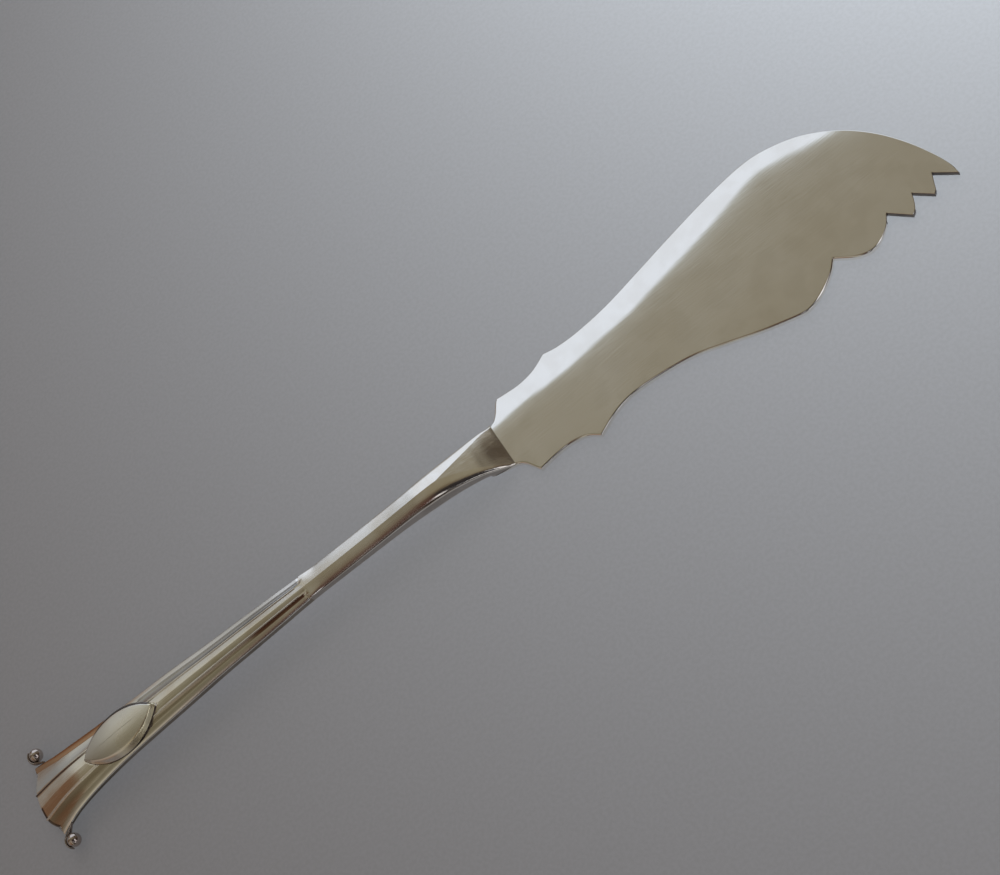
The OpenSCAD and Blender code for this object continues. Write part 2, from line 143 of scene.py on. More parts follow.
# The blade's outline: [share of BLADE_L, share of BLADE_W], one list for each stretch between corners
OUTLINE_SHARES = [
    [(-0.029, 0.166), (-0.020, 0.193), (-0.012, 0.226), (-0.005, 0.257), (0.003, 0.281)],
    [(0.003, 0.281), (0.030, 0.270), (0.062, 0.263), (0.100, 0.280), (0.137, 0.327)],
    [(0.137, 0.327), (0.172, 0.305), (0.225, 0.298), (0.300, 0.314), (0.400, 0.363), (0.500, 0.415),
     (0.600, 0.460), (0.680, 0.481), (0.740, 0.473), (0.800, 0.422), (0.850, 0.342), (0.900, 0.220),
     (0.940, 0.075), (0.970, -0.085), (0.990, -0.240), (1.000, -0.360), (1.000, -0.430)],
    [(1.000, -0.430), (0.962, -0.329)],
    [(0.962, -0.329), (0.952, -0.386), (0.946, -0.421), (0.938, -0.443)],
    [(0.938, -0.443), (0.907, -0.351)],
    [(0.907, -0.351), (0.900, -0.398), (0.890, -0.442), (0.880, -0.461)],
    [(0.880, -0.461), (0.845, -0.352)],
    [(0.845, -0.352), (0.828, -0.412), (0.803, -0.458), (0.776, -0.477), (0.745, -0.448),
     (0.710, -0.370)],
    [(0.710, -0.370), (0.690, -0.425), (0.660, -0.478), (0.628, -0.514), (0.600, -0.522),
     (0.550, -0.483), (0.500, -0.436), (0.440, -0.370), (0.375, -0.305), (0.300, -0.270),
     (0.240, -0.259), (0.190, -0.281), (0.136, -0.342)],
    [(0.136, -0.342), (0.110, -0.287), (0.075, -0.262), (0.040, -0.262), (-0.003, -0.275)],
    [(-0.003, -0.275), (-0.008, -0.257), (-0.014, -0.226), (-0.021, -0.193), (-0.029, -0.166)],
]
# Swells of the blade's face: height, length of the wave along X and along Y, and its start
SWELLS = [(0.006, 5.1, 7.3, 0), (0.005, 3.7, -4.9, 1)]
# The bevel's line on the blade's face: [share of BLADE_L, share of BLADE_W]
BEVEL_LINE_SHARES = [(-0.04, 0.122), (0.048, 0.137), (0.103, 0.130), (0.187, 0.133), (0.253, 0.148),
                     (0.328, 0.159), (0.403, 0.193), (0.487, 0.230), (0.597, 0.289), (0.700, 0.350),
                     (0.763, 0.323), (0.813, 0.285), (0.860, 0.256), (0.930, 0.200), (1.000, 0.140)]

# The handle from the lip to its end: [share of HANDLE_L, rise as a share of ARCH_H, share of the neck's
# thickness, of the stem's thickness, of the fan's thickness, of the neck's width, of the fan's width]
HANDLE_SHARES = np.array([
    (0.030, 0.000, 1.00, 0.00, 0.00, 1.000, 0.000),
    (0.052, 0.155, 0.67, 0.33, 0.00, 0.820, 0.000),
    (0.072, 0.338, 0.55, 0.45, 0.00, 0.615, 0.000),
    (0.083, 0.400, 0.47, 0.53, 0.00, 0.510, 0.000),
    (0.114, 0.470, 0.20, 0.80, 0.00, 0.310, 0.000),
    (0.145, 0.510, 0.00, 1.00, 0.00, 0.180, 0.000),
    (0.176, 0.570, 0.00, 0.98, 0.00, 0.100, 0.000),
    (0.207, 0.660, 0.00, 0.77, 0.00, 0.030, 0.000),
    (0.248, 0.760, 0.00, 0.50, 0.00, 0.000, 0.000),
    (0.290, 0.820, 0.00, 0.34, 0.00, 0.000, 0.000),
    (0.352, 0.880, 0.00, 0.20, 0.00, 0.000, 0.000),
    (0.414, 0.940, 0.00, 0.07, 0.00, 0.000, 0.012),
    (0.476, 0.980, 0.00, 0.02, 0.00, 0.000, 0.080),
    (0.538, 1.000, 0.00, 0.00, 0.00, 0.000, 0.140),
    (0.600, 1.000, 0.00, 0.00, 0.00, 0.000, 0.190),
    (0.683, 0.980, 0.00, 0.00, 0.00, 0.000, 0.295),
    (0.745, 0.940, 0.00, 0.00, 0.12, 0.000, 0.356),
    (0.807, 0.880, 0.00, 0.00, 0.25, 0.000, 0.420),
    (0.858, 0.800, 0.00, 0.00, 0.40, 0.000, 0.510),
    (0.900, 0.700, 0.00, 0.00, 0.60, 0.000, 0.616),
    (0.931, 0.580, 0.00, 0.00, 0.80, 0.000, 0.720),
    (0.951, 0.460, 0.00, 0.00, 0.90, 0.000, 0.826),
    (0.967, 0.330, 0.00, 0.00, 0.97, 0.000, 0.920),
    (0.982, 0.170, 0.00, 0.00, 1.00, 0.000, 1.000),
    (1.000, 0.000, 0.00, 0.00, 1.00, 0.000, 1.000),
])
# Places across the grip, as shares of its half width: the ridge's foot, the inner reed, the flute's
# start, and the least place of the edge reed's side
RIDGE_SHARE = 0.30
WIRE_SHARE = 0.36
FLUTE_SHARE = 0.42
REED_LEAST_SHARE = 0.65
# The stem's crest forks towards the blade's shoulders: the distance to where it parts, how far apart the
# forks end at the lip, and how they bow
FORK_D = 0.145 * HANDLE_L
FORK_END_SHARE = 0.95
FORK_POWER = 1.2
# Where across the fan its swelling ends, and where along the handle it starts
LOBE_EDGE_SHARE = 0.78
LOBE_START_SHARE = 0.90
# Where the stem's high roof starts to give way to the grip's low one, as a share of REED_D
FACE_START_SHARE = 0.93
# The section's roof and rounded flanks, and how flat the roundings are: 2 is an ellipse
STEM_ROOF_SHARE = 0.3
STEM_FLANK_SHARE = 0.72
UNDER_ROUND_SHARE = 0.25
FLANK_POWER = 4
RIM_POWER = 8
WIRE_POWER = 0.7
# Turns at which a curl starts and ends round its bead, in degrees
CURL_START = 75
CURL_END = -50


def mix(a, b, s):
    return a + (b - a) * s


def ease(s):
    """A smooth passage from 0 to 1."""
    c = np.clip(s, 0, 1)
    return c * c * (3 - 2 * c)


def hermite(a, b, ta, tb, s):
    """A curve from a to b with the slopes ta and tb."""
    return ((2 * s ** 3 - 3 * s ** 2 + 1) * a + (s ** 3 - 2 * s ** 2 + s) * ta
            + (3 * s ** 2 - 2 * s ** 3) * b + (s ** 3 - s ** 2) * tb)


def through(table, x, k):
    """Column k of a smooth curve through the table's rows, at x."""
    i = np.clip(np.searchsorted(table[:, 0], x) - 1, 0, len(table) - 2)
    h = table[i + 1, 0] - table[i, 0]

    def slope(j):
        a = np.maximum(j - 1, 0)
        b = np.minimum(j + 1, len(table) - 1)
        return (table[b, k] - table[a, k]) / (table[b, 0] - table[a, 0])

    s = np.clip((x - table[i, 0]) / h, 0, 1)
    return hermite(table[i, k], table[i + 1, k], h * slope(i), h * slope(i + 1), s)


# The handle's shape, at a distance d behind the blade's shoulder points and a share v of its half width
def along(d, k):
    """Column k of HANDLE_SHARES at d."""
    return through(HANDLE_SHARES, np.asarray(d, float) / HANDLE_L, k)


def under_z(d):
    return ARCH_H * np.maximum(0, along(d, 1))


def thick(d):
    neck, stem, fan = along(d, 2), along(d, 3), along(d, 4)
    return neck * (BLADE_T + LIP_T) + stem * STEM_T + fan * FAN_T + (1 - neck - stem - fan) * GRIP_T


def half_w(d):
    neck, fan = along(d, 5), along(d, 6)
    return (neck * ROOT_W + fan * FAN_W + (1 - neck - fan) * STEM_W) / 2


def crest_z(d):
    """Height of the handle's highest line."""
    return under_z(d) + thick(d)


SEAT_FRONT = CARTOUCHE_D - CARTOUCHE_L / 2 - SOLDER
SEAT_BACK = CARTOUCHE_D + CARTOUCHE_L / 2 + SOLDER
SEAT_SLOPE = float(crest_z(SEAT_BACK) - crest_z(SEAT_FRONT)) / (SEAT_BACK - SEAT_FRONT)


def seat_z(d):
    """Height of the cartouche's flat seat."""
    return float(crest_z(SEAT_FRONT)) - SEAT_DEPTH + SEAT_SLOPE * (d - SEAT_FRONT)


def cartouche_half(d):
    """Half the cartouche's width at d."""
    side_r = (CARTOUCHE_L ** 2 + CARTOUCHE_W ** 2) / (4 * CARTOUCHE_W)
    x = np.clip(d - CARTOUCHE_D, -CARTOUCHE_L / 2, CARTOUCHE_L / 2)
    return np.sqrt(side_r ** 2 - x ** 2) - side_r + CARTOUCHE_W / 2


def filed(d, v, z):
    """The height z, sunk to the seat where the cartouche covers it."""
    covered = (d > SEAT_FRONT) & (d < SEAT_BACK) & (np.abs(v) * half_w(d) < cartouche_half(d) - SEAT_RIM)
    return np.where(covered, np.minimum(z, seat_z(d)), z)


def grip_part(d):
    """0 on the stem and 1 on the grip."""
    return ease((d / REED_D - FACE_START_SHARE) / (1 - FACE_START_SHARE))


def run_out(d):
    """How far the flutes are cut: 0 in front of the reeding, 1 past their rounded ends."""
    s = np.clip((REED_D + RUN_L - d) / RUN_L, 0, 1)
    return np.where(d <= REED_D, 0, np.sqrt(1 - s ** 2))


def rounding(v):
    """Height of a rounded flank, from 1 in the middle to 0 at its edge."""
    return np.sqrt(np.maximum(0, 1 - v ** FLANK_POWER))


def fork(d):
    """How far out the forks of the stem's crest are at d, as a share of half_w."""
    s = np.clip((d - LIP_D) / (FORK_D - LIP_D), 0, 1)
    return FORK_END_SHARE * (1 - s ** FORK_POWER)


def reed_side(d):
    """Where the side of an edge reed is, as a share of half_w."""
    return np.maximum(REED_LEAST_SHARE, 1 - REED_W / half_w(d))


def bowed(s):
    """A fall from 0 to 1 that steepens towards its end."""
    return (s + s * s) / 2


def flute_fall(v, a):
    """Fall from the crest across the ridge and the flute, to an edge reed's side at a."""
    s = np.clip((v - FLUTE_SHARE) / (a - FLUTE_SHARE), 0, 1)
    return RIDGE_D * bowed(np.clip(v / RIDGE_SHARE, 0, 1)) + FLUTE_D * s * (2 - s)


def back_fall(v, a):
    """Fall from the crest to an edge reed's back."""
    return RIDGE_D + FLUTE_D - REED_STEP + BACK_D * bowed(np.maximum(0, (v - a) / (1 - a)))


def whole(d, v):
    """The roofed face before the flutes are cut."""
    low = crest_z(d) - back_fall(1, reed_side(d))
    flank = mix(under_z(d) + thick(d) * STEM_FLANK_SHARE, low, grip_part(d))
    f = fork(d)
    u = np.clip((v - f) / (1 - f), 0, 1)
    return mix(flank, crest_z(d), rounding(u) * (1 - STEM_ROOF_SHARE * u))


def inner_z(d, v, a):
    """Height of the face between the edge reeds."""
    return filed(d, v, mix(whole(d, v), crest_z(d) - flute_fall(v, a), run_out(d)))


def back_z(d, v, a):
    """Height of an edge reed's back."""
    return filed(d, v, crest_z(d) - back_fall(v, a))


def ledge_z(d, v, a):
    """Height of the ledge under an edge reed."""
    return mix(whole(d, v), back_z(d, v, a) - REED_T, run_out(d))


def bed_z(d, v, a):
    """Height of the handle's upper face without its trim."""
    bare = np.where(v <= a, inner_z(d, v, a), ledge_z(d, v, a))
    lip = BLADE_T + SOLDER + LIP_T / 2
    flush = LIP_T * (1 - ease((d - LIP_D) / FLUSH_L))
    return np.where(d < SCARF_D, np.maximum(bare, lip), bare) - flush


def belly_z(d, v):
    """Height of the handle's underside."""
    bare = under_z(d) + UNDER_ROUND_SHARE * thick(d) * (1 - rounding(v))
    return np.where(d < SCARF_D, BLADE_T + SOLDER, bare)


def lobe(d, v):
    """How far the fan's end swells out past its corners."""
    grown = ease((d / HANDLE_L - LOBE_START_SHARE) / (CORNER_D / HANDLE_L - LOBE_START_SHARE))
    return LOBE_L * grown * np.maximum(0, 1 - (v / LOBE_EDGE_SHARE) ** 3)


def spread(start, end, step):
    """Places about a step apart from start up to end, without end itself."""
    n = max(2, round(abs(end - start) / step))
    return [start + (end - start) * i / n for i in range(n)]


# Materials
# Noise: waves per metre, and its detail
TARNISH_NOISE = (260.0, 8.0)
SMUDGE_NOISE = (90.0, 6.0)
FIBRE_NOISE = (1700.0, 6.0)
# Streaks: waves per metre along X, Y and Z, their turn round Z in radians, and their detail
WAVES = ((90, 700, 500), 0, 3.0)
SCRATCHES = ((300, 6000, 3000), 0.5, 4.0)
SCRATCH_H = 0.1                # height of the scratches, of which this share shows
SCRATCH_SHARE = 0.06
TARNISH_RANGE = (0.35, 0.6)    # noise up to which the silver is tarnished, and from which it is bright
SMUDGE_RANGE = (0.35, 0.7)     # noise up to which it is glossiest, and from which it is dullest
DULL_SHARES = (0.8, 1.25)      # its roughness there, as shares of what is usual


def tree_of(owner):
    owner.use_nodes = True
    owner.node_tree.nodes.clear()
    return owner.node_tree


def node(tree, kind, links=None, **values):
    """Adds a shader node, sets its values, and links its inputs from {input: socket or value}."""
    made = tree.nodes.new("ShaderNode" + kind)
    for key, value in values.items():
        setattr(made, key, value)
    for key, source in (links or {}).items():
        if isinstance(source, bpy.types.NodeSocket):
            tree.links.new(source, made.inputs[key])
        else:
            made.inputs[key].default_value = source
    return made


def math_node(tree, operation, a, b=0.0):
    return node(tree, "Math", {0: a, 1: b}, operation=operation).outputs[0]


def passage(tree, value, start, end):
    """0 before start, 1 past end, and a smooth passage between."""
    return node(tree, "MapRange", {0: value, 1: start, 2: end},
                interpolation_type="SMOOTHSTEP").outputs[0]


def blend(tree, share, a, b, kind="MIX"):
    """Colour a with a share of b. The node's colours are its inputs 6 and 7 and its output 2."""
    return node(tree, "Mix", {0: share, 6: a, 7: b}, data_type="RGBA", blend_type=kind).outputs[2]


def ramp(tree, factor, stops):
    """A colour ramp through (position, colour) stops."""
    made = node(tree, "ValToRGB", {0: factor})
    made.color_ramp.interpolation = "EASE"
    for i, (place, colour) in enumerate(stops):
        stop = made.color_ramp.elements[i] if i < 2 else made.color_ramp.elements.new(place)
        stop.position = place
        stop.color = (*colour, 1)
    return made.outputs[0]


def object_place(tree):
    return node(tree, "TexCoord").outputs["Object"]


def noise(tree, place, scale, detail):
    return node(tree, "TexNoise", {"Vector": place, "Scale": scale, "Detail": detail}).outputs[0]


def streaks(tree, place, scale, turn, detail):
    """Noise that is drawn out along X, and turned round Z."""
    drawn = node(tree, "Mapping", {"Vector": place, "Rotation": (0, 0, turn), "Scale": scale})
    return noise(tree, drawn.outputs[0], 1.0, detail)


def silver(name, colour, dull, tarnish, wave=0.0, fade=None):
    """Polished silver with a wavy face, fine scratches, smudges and a film of tarnish. A fade is the colour
    of one more film, and the places along X where it sets in and where it is full. On one reed this film is
    copper; on the other pieces it is painted shade, and on the cartouche's near bevel a painted reflection."""
    material = bpy.data.materials.new(name)
    tree = tree_of(material)
    place = object_place(tree)
    tint = ramp(tree, noise(tree, place, *TARNISH_NOISE), list(zip(TARNISH_RANGE, (tarnish, colour))))
    if fade:
        film, fade_start, fade_full = fade
        along_x = node(tree, "SeparateXYZ", {0: place}).outputs["X"]
        tint = blend(tree, passage(tree, along_x, fade_start * MM, fade_full * MM), tint, (*film, 1))
    smudges = noise(tree, place, *SMUDGE_NOISE)
    rough = node(tree, "MapRange", {0: smudges, 1: SMUDGE_RANGE[0], 2: SMUDGE_RANGE[1],
                                    3: dull * DULL_SHARES[0], 4: dull * DULL_SHARES[1]}).outputs[0]
    waves = streaks(tree, place, *WAVES)
    wavy = node(tree, "Bump", {"Height": waves, "Strength": 1.0, "Distance": wave * MM})
    scratches = streaks(tree, place, *SCRATCHES)
    scratched = node(tree, "Bump", {"Height": scratches, "Strength": SCRATCH_SHARE,
                                    "Distance": SCRATCH_H * MM, "Normal": wavy.outputs[0]})
    shader = node(tree, "BsdfPrincipled", {"Base Color": tint, "Metallic": 1.0, "Roughness": rough,
                                           "Normal": scratched.outputs[0]})
    node(tree, "OutputMaterial", {0: shader.outputs[0]})
    return material


def trim_silver(name, fade=None):
    return silver(name, (0.94, 0.91, 0.86), 0.16, (0.88, 0.84, 0.77), 0.02, fade)


def paper():
    material = bpy.data.materials.new("paper")
    tree = tree_of(material)
    fibre = noise(tree, object_place(tree), *FIBRE_NOISE)
    tint = ramp(tree, fibre, [(0.3, (0.290, 0.246, 0.223)), (0.7, (0.308, 0.262, 0.238))])
    shader = node(tree, "BsdfPrincipled", {"Base Color": tint, "Roughness": 0.9, "Specular IOR Level": 0.1})
    node(tree, "OutputMaterial", {0: shader.outputs[0]})
    return material


BLADE_SILVER = silver("blade_silver", (0.94, 0.91, 0.85), 0.13, (0.90, 0.865, 0.80), 0.006)
HANDLE_SILVER = silver("handle_silver", (0.92, 0.885, 0.82), 0.15, (0.86, 0.80, 0.71), 0.02)
# Painted shade: a darker copy of the silver for the stem's sides, in front of the reeding
STEM_SIDE_SHADE = silver("stem_side_shade", (0.52, 0.47, 0.43), 0.2, (0.44, 0.39, 0.35))
# Painted shade: a still darker copy for the sides of the grip and the fan, darkest at the fan's end
GRIP_SIDE_SHADE = silver("grip_side_shade", (0.36, 0.31, 0.26), 0.22, (0.28, 0.24, 0.20),
                     fade=((0.20, 0.17, 0.13), -76, -86))
# Painted shade: a darker copy for the grip's far flute and the far edge reed's inner margin, lighter in the
# fan
FAR_FLUTE_SHADE = silver("far_flute_shade", (0.54, 0.525, 0.505), 0.16, (0.49, 0.475, 0.455), 0.02,
                      ((0.80, 0.785, 0.77), -72, -78))
TRIM_SILVER = trim_silver("trim_silver")
COPPERY_SILVER = trim_silver("coppery_silver", ((0.58, 0.35, 0.21), -74, -81))
SHADED_SILVER = trim_silver("shaded_silver", ((0.22, 0.17, 0.15), -83, -87))
# Painted shade: the grip's near flute is brown at its front and paler further back
NEAR_FLUTE_SHADE = silver("near_flute_shade", (0.34, 0.21, 0.14), 0.2, (0.26, 0.15, 0.10), 0.02, ((0.66, 0.60, 0.50), -50, -53))
# Darker silver: tarnish in the curls, and painted shade on the curls and on the near side of the fan's end
TARNISH_AND_SHADE_SILVER = silver("tarnish_and_shade_silver", (0.36, 0.31, 0.27), 0.2, (0.22, 0.18, 0.16))
# The beads' darker silver stands for tarnish and for painted shade
BEAD_TARNISH_AND_SHADE = silver("bead_tarnish_and_shade", (0.62, 0.55, 0.50), 0.14, (0.45, 0.38, 0.34))
# Painted shade: a near-black film for walls and edges that would reflect shaded surroundings
SHADE_FILM = silver("tarnish", (0.16, 0.13, 0.11), 0.3, (0.10, 0.08, 0.07))
# A painted reflection: golden silver on the cartouche's near bevel, paler towards the fan's end
GOLDEN_REFLECTION = silver("golden_reflection", (0.99, 0.92, 0.66), 0.3, (0.95, 0.86, 0.58),
                       fade=((0.98, 0.95, 0.88), -75, -80))
# The cartouche's rough, worn silver, darkened with painted shade towards the fan's end
WORN_AND_SHADED_SILVER = silver("worn_and_shaded_silver", (0.98, 0.965, 0.90), 0.28, (0.93, 0.90, 0.82),
                     fade=((0.66, 0.64, 0.60), -77, -84))
# Reeds that differ from the plain trim
REED_METALS = {"left_edge": COPPERY_SILVER, "left_inner": SHADED_SILVER}


# Pieces
QUARTER_TURN = np.linspace(0, math.pi / 2, 7)
BLADE_CREASE = 40
HANDLE_CREASE = 50
TRIM_CREASE = 60


def mesh_piece(name, replaced, slot, material, points, faces, crease, films=()):
    """A smooth piece that rides on the body and stands for one solid. Edges sharper than crease, in degrees,
    stay sharp. Each of films is a material and the numbers of the faces that it covers."""
    mesh = bpy.data.meshes.new(name)
    mesh.from_pydata((np.asarray(points, float) * MM).tolist(), [], faces)
    mesh.validate()
    mesh.shade_smooth()
    mesh.set_sharp_from_angle(angle=math.radians(crease))
    mesh.materials.append(material)
    for slot_number, (film, filmed) in enumerate(films, start=1):
        mesh.materials.append(film)
        for i in filmed:
            mesh.polygons[i].material_index = slot_number
    piece = bpy.data.objects.new(name, mesh)
    bpy.context.collection.objects.link(piece)
    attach(piece, "root")
    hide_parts(replaced)


def skin(rings):
    """Faces that join a row of rings of as many points, with a cap on both ends."""
    m, n = len(rings), len(rings[0])
    faces = [(i * n + j, (i + 1) * n + j, (i + 1) * n + (j + 1) % n, i * n + (j + 1) % n)
             for i in range(m - 1) for j in range(n)]
    faces.append(tuple(range(n)))
    faces.append(tuple(range(m * n - 1, (m - 1) * n - 1, -1)))
    return faces


def strip(count, rings, places):
    """Numbers of the faces of a skin of rings of count points: from each of these rings, at these places."""
    return [i * count + j for i in rings for j in places]


def joined(*runs):
    """Points and faces of some rows of rings, each closed by itself."""
    points, faces = [], []
    for rings in runs:
        offset = len(points)
        points.extend(np.concatenate(rings))
        faces += [tuple(i + offset for i in face) for face in skin(rings)]
    return np.array(points), faces


def mirrored(points, faces):
    return points * (1, -1, 1), [tuple(reversed(face)) for face in faces]


def outline_points():
    """The blade's outline from the spine's shoulder round to the belly's, with smooth stretches."""
    points = []
    for shares in OUTLINE_SHARES:
        p = np.array(shares) * (BLADE_L, BLADE_W)
        bend = np.gradient(p, axis=0)
        for i in range(len(p) - 1):
            for k in range(OUTLINE_STEPS):
                points.append(hermite(p[i], p[i + 1], bend[i], bend[i + 1], k / OUTLINE_STEPS))
    return points


def blade_loop():
    """The blade's outline with the sides of its tongue, clockwise and with no two points in one place."""
    tongue = spread(SCARF_D - SCARF_TIP, LIP_D, TONGUE_STEP)
    front = [(-d, float(half_w(d))) for d in tongue] + [(-LIP_D, ROOT_W / 2)]
    back = [(x, -y) for x, y in reversed(front)]
    loop = [np.array(p, float) for p in front] + outline_points() + [np.array(p, float) for p in back]
    kept = [loop[0]]
    for p in loop[1:]:
        if np.linalg.norm(p - kept[-1]) > LEAST_STEP:
            kept.append(p)
    return np.array(kept)


def inward(loop):
    """Inward mitre direction of each point of a clockwise loop."""
    before = loop - np.roll(loop, 1, axis=0)
    after = np.roll(loop, -1, axis=0) - loop
    before /= np.linalg.norm(before, axis=1)[:, None]
    after /= np.linalg.norm(after, axis=1)[:, None]
    na = np.stack([before[:, 1], -before[:, 0]], 1)
    nb = np.stack([after[:, 1], -after[:, 0]], 1)
    m = na + nb
    m /= np.linalg.norm(m, axis=1)[:, None]
    return m / np.maximum(MITRE_LEAST, (m * na).sum(1))[:, None]


def bevel_fall(xy):
    """Fall of the blade's face beyond the bevel's line, crisp near the root and soft further out."""
    line = np.array(BEVEL_LINE_SHARES)
    edge = through(line, xy[:, 0] / BLADE_L, 1) * BLADE_W
    past = xy[:, 1] - edge
    soft = mix(BEVEL_CRISP, BEVEL_SOFT, ease(xy[:, 0] / BLADE_L))
    slope = BEVEL_DROP / BEVEL_W
    grown = np.where(past < 0, 0, np.where(past < soft, past ** 2 / (2 * soft), past - soft / 2))
    rolled = np.clip(past / ROLL_W + 1, 0, 1)
    return (slope - ROLL_SLOPE) * grown + ROLL_SLOPE * (ROLL_W / 3 * rolled ** 3 + np.maximum(past, 0))


def blade_top(xy):
    """Height of the blade's face: flat, with a slight swell left by the planishing hammer."""
    x, y = xy[:, 0], xy[:, 1]
    swell = sum(height * np.sin(x / along_x + y / along_y + start)
                for height, along_x, along_y, start in SWELLS)
    tongue = TONGUE_DROP * ease((-LIP_D - x) / SCARF_L * 2)
    return BLADE_T - SWELL_ROOM + swell - bevel_fall(xy) - tongue


def blade_low(xy):
    """Height of the blade's underside, whose tongue is scarfed to the arch of the neck."""
    return np.where(xy[:, 0] < -LIP_D, np.minimum(under_z(-xy[:, 0]), BLADE_T - TONGUE_T), 0)


def inside(points, loop):
    """Whether each point lies in the closed loop, by counting crossings."""
    x, y = points[:, 0, None], points[:, 1, None]
    ax, ay = loop[None, :, 0], loop[None, :, 1]
    bx, by = np.roll(ax, -1, axis=1), np.roll(ay, -1, axis=1)
    crosses = (ay > y) != (by > y)
    with np.errstate(divide="ignore", invalid="ignore"):
        hit = x < ax + (y - ay) * (bx - ax) / (by - ay)
    return (crosses & hit).sum(1) % 2 == 1


def net(loop, rim):
    """Points inside rim, the edge of the blade's face, and the triangles between them. The triangles number
    the rim's points first, and then the inner ones. Blender's kind of net is 1: only what rim encloses."""
    xs = np.arange(loop[:, 0].min(), loop[:, 0].max(), GRID_STEP)
    ys = np.arange(loop[:, 1].min(), loop[:, 1].max(), GRID_STEP)
    grid = np.array([(x + GRID_STEP / 2 * (j % 2), y) for j, y in enumerate(ys) for x in xs])
    clear = np.min(np.linalg.norm(grid[:, None] - rim[None], axis=2), axis=1) > GRID_CLEAR
    grid = grid[clear & inside(grid, rim)]
    flat = [Vector(p) for p in np.concatenate([rim, grid])]
    border = list(range(len(rim)))
    made, _, triangles, origin, _, _ = delaunay_2d_cdt(flat, [], [border], 1, GRID_TOLERANCE)
    added = [i for i, known in enumerate(origin) if not known]
    source = [known[0] if known else len(flat) + added.index(i) for i, known in enumerate(origin)]
    if added:
        grid = np.concatenate([grid, [tuple(made[i]) for i in added]])
    middles = np.array([[tuple(made[i]) for i in triangle] for triangle in triangles]).mean(axis=1)
    held = inside(middles, rim)
    return grid, [[source[i] for i in triangle] for triangle, kept in zip(triangles, held) if kept]


def blade():
    """The blade: rings up its rounded side, and a net of triangles over its face and its underside."""
    loop = blade_loop()
    inset = inward(loop)
    edge_r = mix(EDGE_R, TOOTH_R, ease((loop[:, 0] - TOOTH_X) / TOOTH_FADE_L))
    edge_r = np.where(loop[:, 0] < -LIP_D, TONGUE_R, edge_r)
    rim = loop + inset * edge_r[:, None]
    points = []
    rings = []

    def add(xy, z):
        rings.append(len(points))
        points.extend(np.column_stack([xy, z]))

    for turn in QUARTER_TURN:
        off = UNDER_R * (1 - math.sin(turn))
        add(loop + inset * off, blade_low(loop) + UNDER_R * (1 - math.cos(turn)))
    for turn in QUARTER_TURN:
        xy = loop + inset * (edge_r * (1 - math.cos(turn)))[:, None]
        add(xy, blade_top(rim) - edge_r * (1 - math.sin(turn)))
    n = len(loop)
    faces = []
    for a, b in zip(rings, rings[1:]):
        faces += [(a + j, a + (j + 1) % n, b + (j + 1) % n, b + j) for j in range(n)]
    # The notched tip's walls that face the near side get a film of painted shade
    notched = [j for j in range(n) if loop[j, 0] > NOTCH_X and inset[j, 1] > NOTCH_FACING]

    inner, triangles = net(loop, rim)
    top_start = len(points)
    points.extend(np.column_stack([inner, blade_top(inner)]))
    low_start = len(points)
    points.extend(np.column_stack([inner, blade_low(inner)]))
    for triangle in triangles:
        faces.append(tuple(rings[-1] + i if i < n else top_start + i - n for i in triangle))
        faces.append(tuple(rings[0] + i if i < n else low_start + i - n for i in reversed(triangle)))
    mesh_piece("blade_fine", "blade", "silver_blade", BLADE_SILVER, points, faces, BLADE_CREASE,
               [(SHADE_FILM, strip(n, range(NOTCH_RINGS), notched))])


# The cartouche's side: how far in, and the share of the height of the dome above
BEVEL_STEPS = [(0.22, 0), (0.16, 0.16), (0.05, 0.27), (0.01, 0.33), (0.04, 0.38), (0.2, 0.54),
               (0.34, 0.69), (0.47, 0.83), (0.57, 0.915), (0.7, 0.967), (0.86, 0.993), (1.05, 1)]
# How far its points are drawn in, as a share of how far its sides are
TIP_INSET_SHARE = 0.5
# Strips of this side: the foot, and the bevel over it
FOOT_STRIPS = range(3)
BEVEL_STRIPS = range(3, 10)
# Steps of the cartouche's outline along its far side, from the point behind to the point in front
CARTOUCHE_STEPS = 60
# Which of the outline's steps have a film: painted shade on the far edge, and a painted reflection on the
# near edge from just beyond the point in front. The foot, which has painted shade, stays bare for a few
# steps on both sides of this point.
FAR_EDGE_STEPS = range(20, 54)
NEAR_EDGE_STEPS = range(54, 110)
BARE_POINT_STEPS = 3
# The dome inside the bevel: how far in its last ring is, as a share of half the width, and its rings
DOME_SHARE = 0.99
DOME_RINGS = 25
# Places across each zone of the handle, as shares of the zone: close together at the creases
INNER_STEPS = [0, 0.02, 0.05, 0.11, 0.2, 0.3, 0.42, 0.54, 0.66, 0.78, 0.88, 0.95, 0.98]
FOOT_STEPS = [0, 0.04, 0.1, 0.5, 0.9, 0.96]
FLUTE_STEPS = [0, 0.03, 0.08, 0.15, 0.25, 0.36, 0.48, 0.6, 0.72, 0.84, 0.93, 0.98]
BACK_STEPS = [0, 0.02, 0.06, 0.14, 0.24, 0.35, 0.46, 0.57, 0.67, 0.76, 0.84, 0.9, 0.94, 0.97, 0.99, 1]
# Least place of the first crease, and width of the zone beside it on the neck
FORK_LEAST_SHARE = 0.02
FORK_FOOT_SHARE = 0.12
# The handle's rings: from one distance behind the shoulder points to the next, and the step between
HANDLE_RUNS = [(LIP_D, FORK_D, 0.12), (FORK_D, REED_D, 0.4), (REED_D, REED_D + RUN_L, 0.05),
               (REED_D + RUN_L, SEAT_FRONT, 0.5), (SEAT_FRONT, SEAT_BACK, 0.2),
               (SEAT_BACK, CORNER_D - END_R, 0.2)]


